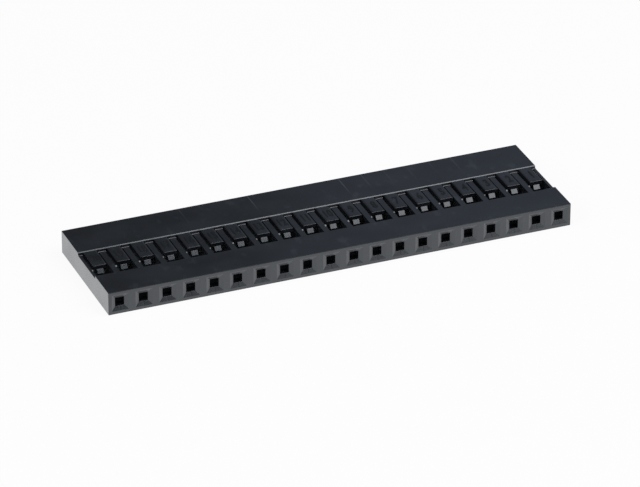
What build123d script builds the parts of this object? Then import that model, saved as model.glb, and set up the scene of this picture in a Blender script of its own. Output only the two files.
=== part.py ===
from build123d import *

import os

# Crimp connector housing: one row of square terminal cavities, moulded as a single piece.
# A crimped terminal slides in from the wire end, under a flexible latch finger that drops
# behind its shoulder; a header pin enters from the mating face through a square funnel.
#
# Frame: X runs along the row, Y from the mating face (-Y) to the wire end (+Y), Z up.
# The origin is the centre of the flat underside. All sizes are in millimetres.

# Row
POSITIONS = 20
PITCH = 2.54

# Outer block
DEPTH = 14.0
THICKNESS = 2.54
OUTER_ROUND = 0.05

# Cavities, open at the wire end
CAVITY_WIDTH = 1.90
FLOOR_WALL = 0.32
ROOF_WALL = 0.32
WIRE_LEAD_IN = 0.12

# Mating face: a web with a square pin hole at the bottom of a square funnel
FRONT_WEB = 1.10
PIN_HOLE = 0.96
FUNNEL_MOUTH = 1.84
FUNNEL_DEPTH = 0.24

# Recess across the top, between the front block and the rear block
FRONT_BLOCK = 3.90
REAR_BLOCK = 5.01
RECESS_DEPTH = 0.32
BEVEL_RUN = 0.10
BEVEL_DROP = 0.07

# Foot of the rear block's wall, on each partition
FOOT_HEIGHT = 0.055
FOOT_SLOPE = 0.06
FOOT_LAND = 0.14
FOOT_OVERHANG = 0.10

# Latch fingers: rooted in the rear block, level with the foot of its bevel, and free at the front
FINGER_THICKNESS = 0.48
FINGER_SLOT = 0.25
FINGER_GAP = 2.06
FINGER_BORDER = 0.26
FINGER_CROWN = 0.03
ROOT_RUN = 0.90

# Nose under each finger's free end, which holds the terminal
NOSE_WIDTH = 0.70
NOSE_LEAD = 0.04
NOSE_REACH = 0.34
NOSE_TOP_DROP = 0.44
NOSE_FOOT_DROP = 0.83
NOSE_LOCK_DROP = 1.04
NOSE_HEEL = 2.00

# Places that follow from the sizes above
LENGTH = POSITIONS * PITCH
Y_MATING = -DEPTH / 2
Y_WIRE = DEPTH / 2
Y_FRONT_BLOCK = Y_MATING + FRONT_BLOCK
Y_REAR_BLOCK = Y_WIRE - REAR_BLOCK
Y_FINGER_TIP = Y_FRONT_BLOCK + FINGER_GAP
Y_NOSE_HEEL = Y_FINGER_TIP + NOSE_HEEL
Z_RECESS = THICKNESS - RECESS_DEPTH
Z_CEILING = THICKNESS - ROOF_WALL
Z_MID_CAVITY = (FLOOR_WALL + Z_CEILING) / 2
CAVITY_HEIGHT = Z_CEILING - FLOOR_WALL
Z_FINGER_TOP = THICKNESS - BEVEL_DROP
Z_FINGER_BORDER = Z_FINGER_TOP - FINGER_CROWN
Z_FINGER_UNDER = Z_FINGER_TOP - FINGER_THICKNESS
Y_FINGER_ROOT = Y_REAR_BLOCK + ROOT_RUN
FINGER_WIDTH = CAVITY_WIDTH - 2 * FINGER_SLOT
OVERRUN = 1.0  # how far a cutting shape runs past the face that it opens


def box_between(low, high):
    """A box from its lowest corner to its highest."""
    size = [b - a for a, b in zip(low, high)]
    middle = [(a + b) / 2 for a, b in zip(low, high)]
    return Pos(*middle) * Box(*size)


def side_profile(points, width):
    """A solid with this outline in the YZ plane, extruded along X and centred on X = 0."""
    outline = Plane.YZ * make_face(Polyline(*points, close=True))
    return extrude(outline, amount=width / 2, both=True)


def square_funnel(y_wide, wide, y_narrow, narrow, height_wide, height_narrow):
    """A four-sided frustum along Y, around the middle of the cavity."""
    across = Plane(origin=(0, 0, Z_MID_CAVITY), x_dir=(1, 0, 0), z_dir=(0, -1, 0))
    mouth = across.offset(-y_wide) * Rectangle(wide, height_wide)
    throat = across.offset(-y_narrow) * Rectangle(narrow, height_narrow)
    return loft([mouth, throat])


def outer_block():
    """The plain block, with its moulded edges very slightly rounded."""
    block = Pos(0, 0, THICKNESS / 2) * Box(LENGTH, DEPTH, THICKNESS)
    return fillet(block.edges(), OUTER_ROUND)


def top_recess():
    """The shallow band across the top, with a bevelled edge along its rear wall."""
    return side_profile(
        [
            (Y_FRONT_BLOCK, THICKNESS + OVERRUN),
            (Y_FRONT_BLOCK, Z_RECESS),
            (Y_REAR_BLOCK, Z_RECESS),
            (Y_REAR_BLOCK, THICKNESS - BEVEL_DROP),
            (Y_REAR_BLOCK + BEVEL_RUN, THICKNESS),
            (Y_REAR_BLOCK + BEVEL_RUN, THICKNESS + OVERRUN),
        ],
        LENGTH + 2 * OVERRUN,
    )


def cavity():
    """Everything that one position removes: funnel, pin hole, terminal cavity, window and wire lead-in."""
    half_pin, half_cavity = PIN_HOLE / 2, CAVITY_WIDTH / 2
    pin_hole = box_between(
        (-half_pin, Y_MATING, Z_MID_CAVITY - half_pin),
        (half_pin, Y_MATING + FRONT_WEB + OVERRUN, Z_MID_CAVITY + half_pin),
    )
    tunnel = box_between(
        (-half_cavity, Y_MATING + FRONT_WEB, FLOOR_WALL),
        (half_cavity, Y_WIRE + OVERRUN, Z_CEILING),
    )
    window = box_between(
        (-half_cavity, Y_FRONT_BLOCK, Z_MID_CAVITY),
        (half_cavity, Y_REAR_BLOCK, THICKNESS + OVERRUN),
    )
    pin_funnel = square_funnel(
        Y_MATING, FUNNEL_MOUTH, Y_MATING + FUNNEL_DEPTH, PIN_HOLE, FUNNEL_MOUTH, PIN_HOLE
    )
    wire_mouth = square_funnel(
        Y_WIRE,
        CAVITY_WIDTH + 2 * WIRE_LEAD_IN,
        Y_WIRE - WIRE_LEAD_IN,
        CAVITY_WIDTH,
        CAVITY_HEIGHT + 2 * WIRE_LEAD_IN,
        CAVITY_HEIGHT,
    )
    return [pin_hole, tunnel, window, pin_funnel, wire_mouth]


def wall_feet():
    """The sloping foot of the rear block's wall, on the half partition at each side of a position."""
    width = (PITCH - CAVITY_WIDTH) / 2 + FOOT_OVERHANG
    foot = side_profile(
        [
            (Y_REAR_BLOCK - FOOT_LAND - FOOT_SLOPE, Z_RECESS),
            (Y_REAR_BLOCK - FOOT_LAND, Z_RECESS + FOOT_HEIGHT),
            (Y_REAR_BLOCK, Z_RECESS + FOOT_HEIGHT),
            (Y_REAR_BLOCK, Z_RECESS),
        ],
        width,
    )
    return [Pos(side * (PITCH - width) / 2, 0, 0) * foot for side in (-1, 1)]


def finger_plate():
    """The finger's plate up to its border, tapering into the roof at its root."""
    return side_profile(
        [
            (Y_FINGER_TIP, Z_FINGER_UNDER),
            (Y_FINGER_TIP, Z_FINGER_BORDER),
            (Y_FINGER_ROOT, Z_FINGER_BORDER),
            (Y_FINGER_ROOT, Z_CEILING),
            (Y_REAR_BLOCK, Z_FINGER_UNDER),
        ],
        FINGER_WIDTH,
    )


def finger_crown():
    """The finger's top, which slopes down to the border at its two sides and its free end."""
    levels = [(Z_FINGER_BORDER, 0), (Z_FINGER_TOP, FINGER_BORDER)]
    outlines = []
    for height, inset in levels:
        front = Y_FINGER_TIP + inset
        middle = Pos(0, (front + Y_FINGER_ROOT) / 2, height)
        outlines.append(middle * Rectangle(FINGER_WIDTH - 2 * inset, Y_FINGER_ROOT - front))
    return loft(outlines)


def finger_nose():
    """The narrow nose: its front leans back, and its underside rises to the heel as a lead-in."""
    return side_profile(
        [
            (Y_FINGER_TIP - NOSE_LEAD, Z_FINGER_TOP - NOSE_TOP_DROP),
            (Y_FINGER_TIP - NOSE_REACH, Z_FINGER_TOP - NOSE_FOOT_DROP),
            (Y_FINGER_TIP - NOSE_REACH, Z_FINGER_TOP - NOSE_LOCK_DROP),
            (Y_NOSE_HEEL, Z_FINGER_UNDER),
            (Y_NOSE_HEEL, Z_FINGER_TOP - NOSE_TOP_DROP),
        ],
        NOSE_WIDTH,
    )


def housing():
    """The whole moulding: the block, less the recess and the cavities, plus the fingers."""
    places = [Pos((i - (POSITIONS - 1) / 2) * PITCH, 0, 0) for i in range(POSITIONS)]
    cuts = cavity()
    additions = wall_feet() + [finger_plate(), finger_crown(), finger_nose()]
    removed = [place * cut for place in places for cut in cuts]
    added = [place * piece for place in places for piece in additions]
    return (outer_block() - top_recess() - removed) + added


os.makedirs("parts", exist_ok=True)
whole = housing()
export_step(whole, "parts/housing.step")
print("housing", len(whole.solids()), "solid,", round(whole.volume, 1), "mm3")
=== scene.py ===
"""The looks of a crimp connector housing: one black moulding with a single row of positions.

The row frame has X along the row, Y from the mating face to the wire end, and Z up.
Sizes are in millimetres unless a comment says otherwise; every mesh is made in metres.
"""

import math
import random
from itertools import product

import bmesh
import bpy
from mathutils import Matrix, Vector


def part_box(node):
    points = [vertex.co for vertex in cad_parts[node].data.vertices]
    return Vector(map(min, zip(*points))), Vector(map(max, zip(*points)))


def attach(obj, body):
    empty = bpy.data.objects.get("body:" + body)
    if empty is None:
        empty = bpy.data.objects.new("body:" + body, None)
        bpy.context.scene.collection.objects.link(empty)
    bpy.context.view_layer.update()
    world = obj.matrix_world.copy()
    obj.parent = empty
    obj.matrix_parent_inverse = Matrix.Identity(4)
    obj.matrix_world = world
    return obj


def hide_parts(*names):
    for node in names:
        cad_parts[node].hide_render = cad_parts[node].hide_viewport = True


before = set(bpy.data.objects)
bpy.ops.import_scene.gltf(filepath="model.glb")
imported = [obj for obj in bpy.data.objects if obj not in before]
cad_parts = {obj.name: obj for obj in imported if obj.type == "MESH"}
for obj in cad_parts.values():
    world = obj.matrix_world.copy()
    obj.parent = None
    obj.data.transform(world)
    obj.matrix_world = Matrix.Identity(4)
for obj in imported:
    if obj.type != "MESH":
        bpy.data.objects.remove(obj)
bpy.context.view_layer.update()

MM = 0.001

# The block, from the frame
LOW, HIGH = (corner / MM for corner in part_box("housing"))
LENGTH = HIGH.x - LOW.x
Y_MATING = LOW.y
Y_WIRE = HIGH.y
Z_TOP = HIGH.z
POSITIONS = 20
PITCH = LENGTH / POSITIONS

# Cavities and pin holes
CAVITY_WIDTH = 1.90
FLOOR_WALL = 0.32
ROOF_WALL = 0.32
WIRE_LEAD_IN = 0.12
FRONT_WEB = 1.10
PIN_HOLE = 0.96
FUNNEL_MOUTH = 1.84
FUNNEL_DEPTH = 0.24

# Recess across the top
FRONT_BLOCK = 3.90
REAR_BLOCK = 5.01
BEVEL_RUN = 0.10
BEVEL_DROP = 0.07
FOOT_HEIGHT = 0.055
FOOT_SLOPE = 0.06
FOOT_LAND = 0.14
FOOT_OVERHANG = 0.10

# Latch fingers and their noses
FINGER_THICKNESS = 0.48
FINGER_SLOT = 0.25
FINGER_GAP = 2.06
FINGER_BORDER = 0.26
FINGER_CROWN = 0.03
ROOT_RUN = 0.90
NOSE_WIDTH = 0.70
NOSE_LEAD = 0.04
NOSE_REACH = 0.34
NOSE_TOP_DROP = 0.44
NOSE_FOOT_DROP = 0.83
NOSE_LOCK_DROP = 1.04
NOSE_HEEL = 2.00

# Edge radii left by the mould, and the turn below which an edge has none
BLOCK_ROUND = 0.05
FINGER_ROUND = 0.03
FRONT_BLOCK_ROUND = 0.10
SMALL_ROUND = 0.02
FLAT_ANGLE = math.radians(10)

# Shading: how far a face may turn from a flat one, or from another round one, to share its normal,
# and the area in square millimetres from which faces in one plane count as flat
FLAT_REACH = math.cos(math.radians(30))
ROUND_REACH = math.cos(math.radians(50))
FLAT_AREA = 1.0

# Raised numbers on the fingers, counted from the right end
NUMBER_HEIGHT = 1.50
NUMBER_WIDTH = 0.52
NUMBER_RISE = 0.03
NUMBER_SUNK = 0.02
NUMBER_X = 0.10
NUMBER_Y = -1.55
NUMBER_BOLD = 0.03  # in the font's own units
NUMBER_CURVE_STEPS = 3

# Scraps of flash on the partitions, beside the windows
SCRAP_Y = 5.42
SCRAP_WIDTH = 0.12
SCRAP_DEPTH = 0.15
SCRAP_HEIGHT = 0.12
SCRAP_OVERHANG = 0.03
SCRAP_SUNK = 0.02
SCRAP_SHIFT = 0.05
SCRAP_SHARES = (0.6, 1.1)  # the smallest and largest scrap, as shares of the sizes above
SCRAP_SEED = 7

# Burr on the front block's rear edge: its ends from the right end of the row, and its outline
BURR_LEFT = 0.34
BURR_RIGHT = 0.06
BURR_TOE = 0.16
BURR_TOE_SUNK = 0.04
BURR_PEAK = 0.03
BURR_RISE = 0.05
BURR_HEEL = 0.09
BURR_HEEL_SUNK = 0.07

# Flow lines on the rear block, over some of the partitions: the half width at full strength and where
# it has faded out, how far behind the recess a line begins and is full, and how far below the top it
# is gone and is still full
FLOW_CORE = 0.02
FLOW_EDGE = 0.09
FLOW_START = 1.2
FLOW_FULL = 3.4
FLOW_FADE = 0.03
FLOW_SKIN = 0.01

# Weld lines below the pin holes: the half width at full strength and where it has faded out, the
# fade under the hole, and how far in from the mating face the line begins to fade and is gone
WELD_CORE = 0.02
WELD_EDGE = 0.07
WELD_FADE = 0.05
WELD_FULL = 0.3
WELD_GONE = 0.5

# Heights of the grain, the waviness of the flat faces, and the marks
GRAIN_HEIGHT = 0.0010
WAVE_HEIGHT = 0.0060
MARK_HEIGHT = 0.0020

# Heights and places that follow
Z_FLOOR = FLOOR_WALL
Z_RECESS = Z_TOP - ROOF_WALL
Z_MIDDLE = (Z_FLOOR + Z_RECESS) / 2
Z_FOOT = Z_RECESS + FOOT_HEIGHT
Z_FINGER = Z_TOP - BEVEL_DROP
Z_BORDER = Z_FINGER - FINGER_CROWN
Z_UNDER = Z_FINGER - FINGER_THICKNESS
Z_NOSE_TOP = Z_FINGER - NOSE_TOP_DROP
Z_NOSE_FOOT = Z_FINGER - NOSE_FOOT_DROP
Z_NOSE_LOCK = Z_FINGER - NOSE_LOCK_DROP
Y_THROAT = Y_MATING + FUNNEL_DEPTH
Y_WEB = Y_MATING + FRONT_WEB
Y_FRONT = Y_MATING + FRONT_BLOCK
Y_TIP = Y_FRONT + FINGER_GAP
Y_NOSE = Y_TIP - NOSE_REACH
Y_CROWN = Y_TIP + FINGER_BORDER
Y_HEEL = Y_TIP + NOSE_HEEL
Y_REAR = Y_WIRE - REAR_BLOCK
Y_LAND = Y_REAR - FOOT_LAND
Y_TOE = Y_LAND - FOOT_SLOPE
Y_ROOT = Y_REAR + ROOT_RUN
Y_LEAD = Y_WIRE - WIRE_LEAD_IN
X_NOSE = NOSE_WIDTH / 2
X_PIN = PIN_HOLE / 2
X_CAVITY = CAVITY_WIDTH / 2
X_FOOT = X_CAVITY - FOOT_OVERHANG
X_FINGER = X_CAVITY - FINGER_SLOT
X_CROWN = X_FINGER - FINGER_BORDER
X_SIDE = PITCH / 2

# The round along the front block's rear edge starts here, with one more plane two thirds of the way along
Y_ARC = Y_FRONT - FRONT_BLOCK_ROUND
Y_ARC_STEP = (Y_ARC + 2 * Y_FRONT) / 3
Z_ARC = Z_TOP - FRONT_BLOCK_ROUND

# Places closer than this are the same: on the lattice, on the finished row, and where the row is welded
NEAR = 1e-4
NEAR_ON_ROW = 1e-3
WELD_DISTANCE = 0.002


def same(a, b):
    """Whether two places along an axis of the lattice are the same."""
    return abs(a - b) < NEAR


def distinct(planes):
    """The planes in order, with those that coincide listed once."""
    kept = []
    for plane in sorted(planes):
        if not kept or plane - kept[-1] > NEAR:
            kept.append(plane)
    return kept


# The mesh of one position is a lattice of blocks between these planes
X_STEPS = [X_SIDE, X_CAVITY, X_FOOT, X_FINGER, X_PIN, X_CROWN, X_NOSE]
X_PLANES = distinct(X_STEPS + [-x for x in X_STEPS])
Y_PLANES = distinct([
    Y_MATING, Y_THROAT, Y_WEB, Y_ARC, Y_ARC_STEP, Y_FRONT, Y_NOSE, Y_TIP,
    Y_CROWN, Y_HEEL, Y_TOE, Y_LAND, Y_REAR, Y_ROOT, Y_LEAD, Y_WIRE,
])
Z_PLANES = distinct([
    0, Z_FLOOR, Z_MIDDLE - X_PIN, Z_NOSE_LOCK, Z_NOSE_FOOT, Z_MIDDLE + X_PIN,
    Z_UNDER, Z_NOSE_TOP, Z_RECESS, Z_FOOT, Z_BORDER, Z_ARC, Z_FINGER, Z_TOP,
])


# ---------------------------------------------------------------- meshes

def new_object(name, mesh):
    """A linked object at the origin."""
    obj = bpy.data.objects.new(name, mesh)
    bpy.context.scene.collection.objects.link(obj)
    return obj


def mesh_of(bm, name):
    """The mesh made by a bmesh, which is freed."""
    mesh = bpy.data.meshes.new(name)
    bm.to_mesh(mesh)
    bm.free()
    return mesh


def evaluated_mesh(obj):
    """A plain mesh of an object as its modifiers leave it."""
    bpy.context.view_layer.update()
    graph = bpy.context.evaluated_depsgraph_get()
    return bpy.data.meshes.new_from_object(obj.evaluated_get(graph))


def is_plastic(x, y, z):
    """Whether the block of the lattice around this point is plastic rather than air."""
    across = abs(x)
    finger = across < X_FINGER and Z_UNDER < z < Z_FINGER and Y_TIP < y < Y_REAR
    root = across < X_FINGER and Z_UNDER < z < Z_RECESS and Y_REAR < y < Y_ROOT
    nose_front = Y_NOSE < y < Y_TIP and z < Z_NOSE_TOP
    nose_under = Y_TIP < y < Y_HEEL and z < Z_UNDER
    nose = across < X_NOSE and z > Z_NOSE_LOCK and (nose_front or nose_under)
    foot = across > X_FOOT and Y_TOE < y < Y_REAR and Z_RECESS < z < Z_FOOT
    if finger or root or nose or foot:
        return True
    recess = z > Z_RECESS and Y_FRONT < y < Y_REAR
    cavity = across < X_CAVITY and Z_FLOOR < z < Z_RECESS and y > Y_WEB
    pin_hole = across < X_PIN and abs(z - Z_MIDDLE) < X_PIN and y < Y_WEB
    return not (recess or cavity or pin_hole)


def spread(value, inner, outer, limit):
    """Moves a distance from the middle so that inner lands on outer and limit stays where it is."""
    size = abs(value)
    if size <= inner:
        return value * outer / inner
    part = (size - inner) / (limit - inner)
    return math.copysign(outer + part * (limit - outer), value)


def shaped(x, y, z):
    """Where a corner of the lattice goes: it turns the square steps into slopes and funnels."""
    across = abs(x)
    if same(y, Y_MATING):
        mouth = FUNNEL_MOUTH / 2
        high = Z_MIDDLE + spread(z - Z_MIDDLE, X_PIN, mouth, Z_MIDDLE)
        return spread(x, X_PIN, mouth, X_SIDE), y, high
    if same(y, Y_WIRE):
        half = (Z_RECESS - Z_FLOOR) / 2
        wide = spread(x, X_CAVITY, X_CAVITY + WIRE_LEAD_IN, X_SIDE)
        return wide, y, Z_MIDDLE + spread(z - Z_MIDDLE, half, half + WIRE_LEAD_IN, Z_MIDDLE)
    if Y_ARC - NEAR < y < Y_FRONT + NEAR and z > Z_ARC - NEAR:
        out, up = y - Y_ARC, z - Z_ARC
        reach = math.hypot(out, up)
        pull = max(out, up) / reach if reach > NEAR else 1
        return x, Y_ARC + out * pull, Z_ARC + up * pull
    if same(y, Y_REAR) and same(z, Z_TOP):
        return x, y + BEVEL_RUN, z
    if same(y, Y_TOE) and same(z, Z_FOOT) and across > X_FOOT - NEAR:
        return x, y, Z_RECESS
    on_border = across > X_FINGER - NEAR or same(y, Y_TIP)
    if same(z, Z_FINGER) and on_border and across < X_FINGER + NEAR and Y_TIP - NEAR < y < Y_REAR + NEAR:
        return x, y, Z_BORDER
    if same(y, Y_ROOT) and same(z, Z_UNDER) and across < X_FINGER + NEAR:
        return x, y, Z_RECESS
    if across < X_NOSE + NEAR:
        if same(y, Y_NOSE) and Z_NOSE_FOOT < z < Z_NOSE_TOP + NEAR:
            lean = (z - Z_NOSE_FOOT) / (Z_NOSE_TOP - Z_NOSE_FOOT)
            return x, y + lean * (NOSE_REACH - NOSE_LEAD), z
        if same(y, Y_TIP) and same(z, Z_NOSE_LOCK):
            rise = (Y_TIP - Y_NOSE) / (Y_HEEL - Y_NOSE)
            return x, y, z + rise * (Z_UNDER - Z_NOSE_LOCK)
        if same(y, Y_HEEL) and Z_NOSE_LOCK - NEAR < z < Z_UNDER:
            return x, y, Z_UNDER
    return x, y, z


def lattice_mesh(name, quads):
    """A mesh in metres from four-cornered faces given in millimetres, with its doubles merged."""
    bm = bmesh.new()
    for quad in quads:
        bm.faces.new([bm.verts.new(Vector(shaped(*corner)) * MM) for corner in quad])
    bmesh.ops.remove_doubles(bm, verts=bm.verts, dist=NEAR * MM)
    return mesh_of(bm, name)


def middle(planes, i):
    """The middle of the step after plane i."""
    return (planes[i] + planes[i + 1]) / 2


def plastic_at(i, j, k):
    """Whether block (i, j, k) of the lattice is plastic. Outside the lattice in Y and Z there is only air."""
    inside = 0 <= j < len(Y_PLANES) - 1 and 0 <= k < len(Z_PLANES) - 1
    return inside and is_plastic(middle(X_PLANES, i), middle(Y_PLANES, j), middle(Z_PLANES, k))


def block_face(i, j, k, axis, side):
    """The four corners of one face of a block, in the order that points its normal outwards."""
    ends = (X_PLANES[i], Y_PLANES[j], Z_PLANES[k]), (X_PLANES[i + 1], Y_PLANES[j + 1], Z_PLANES[k + 1])
    u, v = (axis + 1) % 3, (axis + 2) % 3
    corners = []
    for at_u, at_v in ((0, 0), (1, 0), (1, 1), (0, 1)):
        corner = [0, 0, 0]
        corner[axis] = ends[side][axis]
        corner[u] = ends[at_u][u]
        corner[v] = ends[at_v][v]
        corners.append(tuple(corner))
    return corners if side else corners[::-1]


def position_mesh():
    """One position of the row, open at its two sides, where it joins its neighbours."""
    quads = []
    counts = [len(planes) - 1 for planes in (X_PLANES, Y_PLANES, Z_PLANES)]
    for block in product(*(range(count) for count in counts)):
        if not plastic_at(*block):
            continue
        for axis, side in product(range(3), (0, 1)):
            beside = list(block)
            beside[axis] += 1 if side else -1
            if 0 <= beside[0] < counts[0] and not plastic_at(*beside):
                quads.append(block_face(*block, axis, side))
    return lattice_mesh("position", quads)


def end_mesh():
    """The left end of the row: the side profile of a partition, as a flat sheet facing -X."""
    blocks = product(range(len(Y_PLANES) - 1), range(len(Z_PLANES) - 1))
    return lattice_mesh("end", [block_face(0, j, k, 0, 0) for j, k in blocks if plastic_at(0, j, k)])


# ---------------------------------------------------------------- geometry nodes

def node_tree(name, inputs):
    """A geometry node tree with these named inputs, and the identifier of each."""
    tree = bpy.data.node_groups.new(name, "GeometryNodeTree")
    tree.interface.new_socket("Geometry", in_out="OUTPUT", socket_type="NodeSocketGeometry")
    names = {}
    for label, kind in inputs:
        socket = tree.interface.new_socket(label, in_out="INPUT", socket_type=kind)
        names[label] = socket.identifier
    return tree, names


def baked(obj):
    """Turns an object's evaluated modifiers into its plain mesh, and removes them."""
    mesh = evaluated_mesh(obj)
    obj.modifiers.clear()
    obj.data = mesh
    mesh.name = obj.name
    return obj


def maths_node(tree, operation, values):
    """The result of a maths node, whose inputs are numbers or other nodes' results."""
    node = tree.nodes.new("ShaderNodeMath")
    node.operation = operation
    for socket, value in zip(node.inputs, values):
        if isinstance(value, (int, float)):
            socket.default_value = value
        else:
            tree.links.new(value, socket)
    return node.outputs[0]


def row_tree():
    """Repeats one position along X, closes the two ends, and welds it all into one skin."""
    tree, names = node_tree("housing_row", [
        ("Position", "NodeSocketObject"),
        ("End", "NodeSocketObject"),
        ("Positions", "NodeSocketInt"),
        ("Pitch", "NodeSocketFloat"),
        ("Weld distance", "NodeSocketFloat"),
        ("Plastic", "NodeSocketMaterial"),
    ])
    add = tree.nodes.new
    link = tree.links.new
    given = add("NodeGroupInput")
    out = add("NodeGroupOutput")

    def maths(operation, *values):
        return maths_node(tree, operation, values)

    def along_x(value):
        node = add("ShaderNodeCombineXYZ")
        link(value, node.inputs["X"])
        return node.outputs[0]

    def object_mesh(label):
        node = add("GeometryNodeObjectInfo")
        link(given.outputs[label], node.inputs["Object"])
        return node.outputs["Geometry"]

    def moved(geometry, offset):
        node = add("GeometryNodeTransform")
        link(geometry, node.inputs["Geometry"])
        link(offset, node.inputs["Translation"])
        return node.outputs[0]

    gaps = maths("SUBTRACT", given.outputs["Positions"], 1)
    first = maths("MULTIPLY", maths("MULTIPLY", gaps, given.outputs["Pitch"]), -0.5)
    line = add("GeometryNodeMeshLine")
    link(given.outputs["Positions"], line.inputs["Count"])
    link(along_x(first), line.inputs["Start Location"])
    link(along_x(given.outputs["Pitch"]), line.inputs["Offset"])
    copies = add("GeometryNodeInstanceOnPoints")
    link(line.outputs[0], copies.inputs["Points"])
    link(object_mesh("Position"), copies.inputs["Instance"])
    # The end sheet already stands half a pitch to the left of the position that it closes
    left = moved(object_mesh("End"), along_x(first))
    flip = add("GeometryNodeFlipFaces")
    link(object_mesh("End"), flip.inputs[0])
    last = maths("MULTIPLY", first, -1)
    right = moved(flip.outputs[0], along_x(maths("ADD", last, given.outputs["Pitch"])))
    join = add("GeometryNodeJoinGeometry")
    for geometry in (copies.outputs[0], left, right):
        link(geometry, join.inputs[0])
    real = add("GeometryNodeRealizeInstances")
    link(join.outputs[0], real.inputs[0])
    weld = add("GeometryNodeMergeByDistance")
    link(real.outputs[0], weld.inputs["Geometry"])
    link(given.outputs["Weld distance"], weld.inputs["Distance"])
    finish = add("GeometryNodeSetMaterial")
    link(weld.outputs[0], finish.inputs["Geometry"])
    link(given.outputs["Plastic"], finish.inputs["Material"])
    link(finish.outputs[0], out.inputs[0])
    return tree, names


def edge_round(edge):
    """The radius of a moulded edge, in millimetres: none in a corner, or where two faces lie nearly flat."""
    if len(edge.link_faces) != 2 or not edge.is_convex or edge.calc_face_angle(0) < FLAT_ANGLE:
        return 0
    ends = [v.co / MM for v in edge.verts]

    def lies_on(axis, plane):
        return all(abs(end[axis] - plane) < NEAR_ON_ROW for end in ends)

    if all(Y_ARC - NEAR < end.y < Y_FRONT + NEAR and end.z > Z_ARC - NEAR for end in ends):
        return 0
    if lies_on(2, Z_BORDER):
        return FINGER_ROUND
    outer = sum(lies_on(axis, plane) for axis in range(3) for plane in (LOW[axis], HIGH[axis]))
    return BLOCK_ROUND if outer == 2 else SMALL_ROUND


def flat_shading(mesh):
    """Gives each flat face its own exact normal, and turns the narrow rounds between them smoothly."""
    planes = {}
    plane_of = []
    for face in mesh.polygons:
        height = face.normal.dot(face.center) / MM
        plane = tuple(round(value, 2) for value in (*face.normal, height))
        plane_of.append(plane)
        planes[plane] = planes.get(plane, 0) + face.area / MM ** 2
    around = [[] for _ in mesh.vertices]
    for face in mesh.polygons:
        for corner in face.vertices:
            around[corner].append(face)
    normals = []
    for face in mesh.polygons:
        for corner in face.vertices:
            flats = [f for f in around[corner] if f.normal.dot(face.normal) > FLAT_REACH]
            widest = max(flats, key=lambda f: planes[plane_of[f.index]], default=face)
            if planes[plane_of[widest.index]] > FLAT_AREA:
                normals.append(widest.normal)
                continue
            rounds = [f.normal * f.area for f in around[corner] if f.normal.dot(face.normal) > ROUND_REACH]
            normals.append(sum(rounds, Vector()).normalized())
    mesh.normals_split_custom_set(normals)


def round_edges(obj):
    """Rounds each real edge as the mould leaves it, and keeps the flat faces flat."""
    bm = bmesh.new()
    bm.from_mesh(obj.data)
    weight = bm.edges.layers.float.new("bevel_weight_edge")
    for face in bm.faces:
        face.smooth = True
    for edge in bm.edges:
        edge[weight] = edge_round(edge) / BLOCK_ROUND
    bm.to_mesh(obj.data)
    bm.free()
    bevel = obj.modifiers.new("edges", "BEVEL")
    bevel.width = BLOCK_ROUND * MM
    bevel.segments = 2
    bevel.limit_method = "WEIGHT"
    bevel.use_clamp_overlap = False
    baked(obj)
    flat_shading(obj.data)
    return obj


def housing_skin(plastic):
    """The whole moulding as one closed skin, repeated from one position."""
    position = new_object("position_source", position_mesh())
    end = new_object("end_source", end_mesh())
    tree, names = row_tree()
    skin = new_object("housing_skin", bpy.data.meshes.new("housing_skin"))
    row = skin.modifiers.new("row", "NODES")
    row.node_group = tree
    row[names["Position"]] = position
    row[names["End"]] = end
    row[names["Positions"]] = POSITIONS
    row[names["Pitch"]] = PITCH * MM
    row[names["Weld distance"]] = WELD_DISTANCE * MM
    row[names["Plastic"]] = plastic
    baked(skin)
    for source in (position, end):
        bpy.data.objects.remove(source)
    return round_edges(skin)


def text_mesh(words):
    """A line of text as a solid mesh, in the font's own units."""
    text = bpy.data.curves.new("number", "FONT")
    text.body = words
    text.extrude = 1
    text.offset = NUMBER_BOLD
    text.resolution_u = NUMBER_CURVE_STEPS
    source = new_object("number", text)
    mesh = evaluated_mesh(source)
    bpy.data.objects.remove(source)
    return mesh


def extent(mesh, axis):
    """The lowest place of a mesh along an axis, and its size."""
    places = [v.co[axis] for v in mesh.vertices]
    return min(places), max(places) - min(places)


def position_numbers(plastic):
    """The numbers 1 to 20, raised on the fingers from the right end of the row to the left."""
    digit = text_mesh("0")
    wanted = (NUMBER_WIDTH, NUMBER_HEIGHT, NUMBER_RISE + NUMBER_SUNK)
    scale = [size / extent(digit, axis)[1] * MM for axis, size in enumerate(wanted)]
    bm = bmesh.new()
    for i in range(POSITIONS):
        mesh = text_mesh(str(i + 1))
        x = ((POSITIONS - 1) / 2 - i) * PITCH + NUMBER_X
        centre = (x, Y_REAR + NUMBER_Y, Z_FINGER + (NUMBER_RISE - NUMBER_SUNK) / 2)
        for axis in range(3):
            low, size = extent(mesh, axis)
            for v in mesh.vertices:
                v.co[axis] = (v.co[axis] - low - size / 2) * scale[axis] + centre[axis] * MM
        bm.from_mesh(mesh)
    bmesh.ops.remove_doubles(bm, verts=bm.verts, dist=NEAR * MM)
    bmesh.ops.recalc_face_normals(bm, faces=bm.faces)
    mesh = mesh_of(bm, "position_numbers")
    mesh.materials.append(plastic)
    return new_object("position_numbers", mesh)


def add_wedge(bm, left, right, outline):
    """A little solid wedge in millimetres: an outline in the YZ plane between two places along X."""
    rings = [[bm.verts.new(Vector((x, y, z)) * MM) for y, z in outline] for x in (left, right)]
    for a in range(len(outline)):
        b = (a + 1) % len(outline)
        bm.faces.new((rings[0][a], rings[0][b], rings[1][b], rings[1][a]))
    bm.faces.new(rings[0][::-1])
    bm.faces.new(rings[1])


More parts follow.
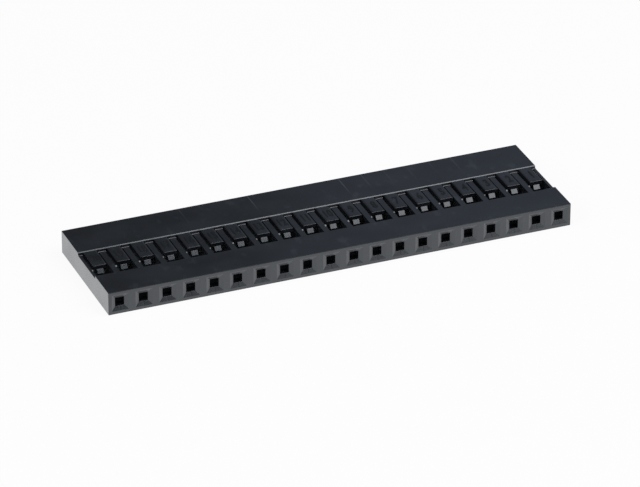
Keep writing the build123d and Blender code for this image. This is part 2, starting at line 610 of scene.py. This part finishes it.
def flash_scraps(plastic):
    """Uneven scraps of flash, each on the partition left of a window, and a burr at the right end."""
    chance = random.Random(SCRAP_SEED)
    bm = bmesh.new()
    for i in range(POSITIONS):
        size = chance.uniform(*SCRAP_SHARES)
        wall = (i - (POSITIONS - 1) / 2) * PITCH - X_CAVITY
        front = Y_MATING + SCRAP_Y + chance.uniform(-SCRAP_SHIFT, SCRAP_SHIFT)
        back = front + SCRAP_DEPTH * size
        foot = Z_RECESS - SCRAP_SUNK
        outline = [(front, foot), (back, Z_RECESS + SCRAP_HEIGHT * size), (back + SCRAP_SUNK, foot)]
        add_wedge(bm, wall - SCRAP_WIDTH * size, wall + SCRAP_OVERHANG, outline)
    burr = [
        (Y_ARC - BURR_TOE, Z_TOP - BURR_TOE_SUNK),
        (Y_ARC + BURR_PEAK, Z_TOP + BURR_RISE),
        (Y_ARC + BURR_HEEL, Z_TOP - BURR_HEEL_SUNK),
    ]
    add_wedge(bm, HIGH.x - BURR_LEFT, HIGH.x - BURR_RIGHT, burr)
    bmesh.ops.recalc_face_normals(bm, faces=bm.faces)
    mesh = mesh_of(bm, "flash_scraps")
    mesh.materials.append(plastic)
    return new_object("flash_scraps", mesh)


# ---------------------------------------------------------------- materials

class Pattern:
    """Short names for the nodes that a procedural material is made of."""

    def __init__(self, material):
        material.use_nodes = True
        self.tree = material.node_tree
        self.nodes = self.tree.nodes
        self.link = self.tree.links.new
        self.place = self.nodes.new("ShaderNodeTexCoord").outputs["Object"]

    def noise(self, waves, detail=2, seed=0):
        """Noise with this many waves per millimetre along X, Y and Z."""
        mapping = self.nodes.new("ShaderNodeMapping")
        mapping.inputs["Scale"].default_value = [w / MM for w in waves]
        mapping.inputs["Location"].default_value = (seed, 2 * seed, 3 * seed)
        self.link(self.place, mapping.inputs["Vector"])
        node = self.nodes.new("ShaderNodeTexNoise")
        node.inputs["Scale"].default_value = 1
        node.inputs["Detail"].default_value = detail
        self.link(mapping.outputs[0], node.inputs["Vector"])
        return node.outputs[0]

    def ranged(self, value, low, high, out_low, out_high):
        """Maps low to high onto a new range, and holds it there."""
        node = self.nodes.new("ShaderNodeMapRange")
        for name, number in zip(("From Min", "From Max", "To Min", "To Max"), (low, high, out_low, out_high)):
            node.inputs[name].default_value = number
        self.link(value, node.inputs["Value"])
        return node.outputs[0]

    def maths(self, operation, *values):
        return maths_node(self.tree, operation, values)

    def axes(self):
        """The object coordinates one by one, in millimetres."""
        split = self.nodes.new("ShaderNodeSeparateXYZ")
        self.link(self.place, split.inputs[0])
        return [self.maths("MULTIPLY", axis, 1 / MM) for axis in split.outputs]

    def mixed(self, amount, a, b):
        node = self.nodes.new("ShaderNodeMix")
        node.data_type = "RGBA"
        self.link(amount, node.inputs["Factor"])
        node.inputs["A"].default_value = (*a, 1)
        node.inputs["B"].default_value = (*b, 1)
        return node.outputs["Result"]


PLASTIC_INDEX = 1.55
COAT_ROUGHNESS = 0.15
GLOSS_TINT = (0.82, 0.91, 1.0, 1)
COAT_TINT = (0.94, 0.96, 1.0, 1)
PLASTIC_DARK = (0.0068, 0.0078, 0.0098)
PLASTIC_LIGHT = (0.0520, 0.0580, 0.0700)
# The numbers' colours are painted shade: the digits are the same plastic as the rest, coloured darker to
# stand in for the darker light that the raised digits reflect
NUMBER_SHADED_DARK = (0.0015, 0.0018, 0.0024)
NUMBER_SHADED_LIGHT = (0.0040, 0.0046, 0.0060)
WHITE_SHARE = 0.92
PAPER = (0.92, 0.92, 0.92, 1)


def black_plastic(name, dark, light, gloss_low, gloss_high, shine):
    """Black moulded plastic with grain, uneven gloss, flow and weld lines, and light scuffs."""
    material = bpy.data.materials.new(name)
    p = Pattern(material)
    shader = p.nodes["Principled BSDF"]
    shader.inputs["IOR"].default_value = PLASTIC_INDEX
    shader.inputs["Specular Tint"].default_value = GLOSS_TINT
    shader.inputs["Coat Weight"].default_value = shine
    shader.inputs["Coat Roughness"].default_value = COAT_ROUGHNESS
    shader.inputs["Coat IOR"].default_value = PLASTIC_INDEX
    shader.inputs["Coat Tint"].default_value = COAT_TINT
    x, y, z = p.axes()

    # Flow lines: thin streaks along Y over some places between two positions, fading towards the recess.
    # PINGPONG measures from the middle of the row, which lies between two positions.
    from_partition = p.maths("PINGPONG", x, X_SIDE)
    thin = p.ranged(from_partition, FLOW_CORE, FLOW_EDGE, 1, 0)
    some = p.ranged(p.noise((0.55, 0.02, 0.02), 1, seed=4), 0.50, 0.60, 0, 1)
    length = p.ranged(y, Y_REAR + FLOW_START, Y_REAR + FLOW_FULL, 0, 1)
    on_top = p.ranged(z, Z_TOP - FLOW_FADE, Z_TOP - FLOW_SKIN, 0, 1)
    flow = p.maths("MULTIPLY", p.maths("MULTIPLY", thin, some), p.maths("MULTIPLY", length, on_top))

    # Weld line: where the melt meets below each pin hole
    below = p.ranged(z, Z_MIDDLE - X_PIN - WELD_FADE, Z_MIDDLE - X_PIN, 1, 0)
    at_face = p.ranged(y, Y_MATING + WELD_FULL, Y_MATING + WELD_GONE, 1, 0)
    centre = p.ranged(from_partition, X_SIDE - WELD_EDGE, X_SIDE - WELD_CORE, 0, 1)
    weld = p.maths("MULTIPLY", p.maths("MULTIPLY", below, at_face), centre)

    clouds = p.noise((0.20, 0.30, 0.30), 3, seed=1)
    scuffs = p.ranged(p.noise((0.9, 0.55, 0.9), 5, seed=2), 0.60, 0.72, 0, 1)
    marks = p.maths("MAXIMUM", p.maths("MULTIPLY", flow, 0.9), p.maths("MULTIPLY", scuffs, 0.25))
    tone = p.maths("ADD", p.ranged(clouds, 0.35, 0.65, 0.0, 0.13), marks)
    p.link(p.mixed(tone, dark, light), shader.inputs["Base Color"])
    gloss = p.ranged(clouds, 0.35, 0.65, gloss_low, gloss_high)
    p.link(p.maths("ADD", gloss, p.maths("MULTIPLY", marks, 0.12)), shader.inputs["Roughness"])

    # Height: fine grain, a slight waviness of the flat faces, and the marks
    grain = p.maths("MULTIPLY", p.noise((11, 11, 11), 3, seed=3), GRAIN_HEIGHT)
    waves = p.maths("MULTIPLY", p.noise((0.45, 0.30, 0.45), 1, seed=5), WAVE_HEIGHT)
    lines = p.maths("MULTIPLY", p.maths("SUBTRACT", flow, p.maths("MULTIPLY", weld, 2)), MARK_HEIGHT)
    bump = p.nodes.new("ShaderNodeBump")
    bump.inputs["Strength"].default_value = 1
    bump.inputs["Distance"].default_value = MM
    p.link(p.maths("ADD", p.maths("ADD", grain, waves), lines), bump.inputs["Height"])
    p.link(bump.outputs[0], shader.inputs["Normal"])
    p.link(bump.outputs[0], shader.inputs["Coat Normal"])
    return material


def white_floor():
    """White paper that the camera and the gloss of the plastic see as white, with a trace of shadow."""
    material = bpy.data.materials.new("white_floor")
    material.use_nodes = True
    tree = material.node_tree
    nodes, link = tree.nodes, tree.links.new
    nodes.clear()
    paper = nodes.new("ShaderNodeBsdfDiffuse")
    paper.inputs["Color"].default_value = PAPER
    white = nodes.new("ShaderNodeEmission")
    rays = nodes.new("ShaderNodeLightPath").outputs
    seen = maths_node(tree, "ADD", (rays["Is Camera Ray"], rays["Is Glossy Ray"]))
    also = maths_node(tree, "ADD", (seen, rays["Is Transmission Ray"]))
    also.node.use_clamp = True
    mix = nodes.new("ShaderNodeMixShader")
    link(maths_node(tree, "MULTIPLY", (also, WHITE_SHARE)), mix.inputs[0])
    link(paper.outputs[0], mix.inputs[1])
    link(white.outputs[0], mix.inputs[2])
    out = nodes.new("ShaderNodeOutputMaterial")
    link(mix.outputs[0], out.inputs[0])
    return material


# ---------------------------------------------------------------- set

# Angles in degrees, the lens and its sensor in millimetres, and all else in metres
AIM = Vector((-1.00, -3.16, 1.27)) * MM
VIEW_AZIMUTH = 22.17
VIEW_ELEVATION = 29.05
VIEW_ROLL = 0.22
VIEW_DISTANCE = 0.5206
LENS = 286.35
SENSOR = 36
NEAREST_SEEN = 0.01
FARTHEST_SEEN = 20
FLOOR_REACH = 3.0
ROOM_COLOUR = (0.9, 0.95, 1.0, 1)
ROOM_LIGHT = 0.06


def camera():
    """A long lens, looking down at the mating face from the front and a little from the left."""
    lens = bpy.data.cameras.new("camera")
    lens.lens = LENS
    lens.sensor_width = SENSOR
    lens.clip_start = NEAREST_SEEN
    lens.clip_end = FARTHEST_SEEN
    obj = new_object("camera", lens)
    turn = Matrix.Rotation(math.radians(-VIEW_AZIMUTH), 4, "Z")
    tilt = Matrix.Rotation(math.radians(90 - VIEW_ELEVATION), 4, "X")
    roll = Matrix.Rotation(math.radians(VIEW_ROLL), 4, "Z")
    aim = turn @ tilt @ roll
    obj.matrix_world = Matrix.Translation(AIM + aim @ Vector((0, 0, VIEW_DISTANCE))) @ aim
    bpy.context.scene.camera = obj


def softbox(name, azimuth, elevation, distance, width, height, radiance, tint=(1, 1, 1)):
    """A rectangular lamp aimed at the housing. Azimuth is 0 before the mating face and grows towards +X."""
    data = bpy.data.lights.new(name, "AREA")
    data.shape = "RECTANGLE"
    data.size = width
    data.size_y = height
    data.color = tint
    data.energy = radiance * math.pi * width * height
    obj = new_object(name, data)
    a, e = math.radians(azimuth), math.radians(elevation)
    away = Vector((math.cos(e) * math.sin(a), -math.cos(e) * math.cos(a), math.sin(e)))
    obj.location = away * distance
    obj.rotation_euler = away.to_track_quat("Z", "Y").to_euler()


def studio():
    """The floor, five softboxes and the light of the room."""
    bm = bmesh.new()
    bmesh.ops.create_grid(bm, x_segments=1, y_segments=1, size=FLOOR_REACH)
    floor = new_object("floor", mesh_of(bm, "floor"))
    floor.data.materials.append(white_floor())
    softbox("key", 55, 52, 0.45, 0.36, 0.32, 2.9)
    softbox("top", 180, 86, 0.60, 0.50, 0.50, 0.95)
    softbox("left", -75, 38, 0.45, 0.30, 0.30, 3.0)
    softbox("front", 46, 16, 0.60, 0.60, 0.30, 0.7)
    softbox("behind", 138, 29, 0.65, 0.42, 0.30, 0.10, tint=(0.80, 0.95, 1.25))
    world = bpy.data.worlds.new("room")
    world.use_nodes = True
    background = world.node_tree.nodes["Background"]
    background.inputs["Color"].default_value = ROOM_COLOUR
    background.inputs["Strength"].default_value = ROOM_LIGHT
    bpy.context.scene.world = world
    bpy.context.scene.view_settings.view_transform = "Standard"


camera()
studio()
moulded = black_plastic("black_plastic", PLASTIC_DARK, PLASTIC_LIGHT, 0.30, 0.38, 1.0)
# The numbers: a rougher finish with little coat, which is real, and a darker colour, which is painted shade
# for the dark look of the digits
number_finish_and_shade = black_plastic("number_plastic", NUMBER_SHADED_DARK, NUMBER_SHADED_LIGHT, 0.50, 0.60, 0.1)
skin = housing_skin(moulded)
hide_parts("housing")
for piece in (skin, position_numbers(number_finish_and_shade), flash_scraps(moulded)):
    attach(piece, "root")
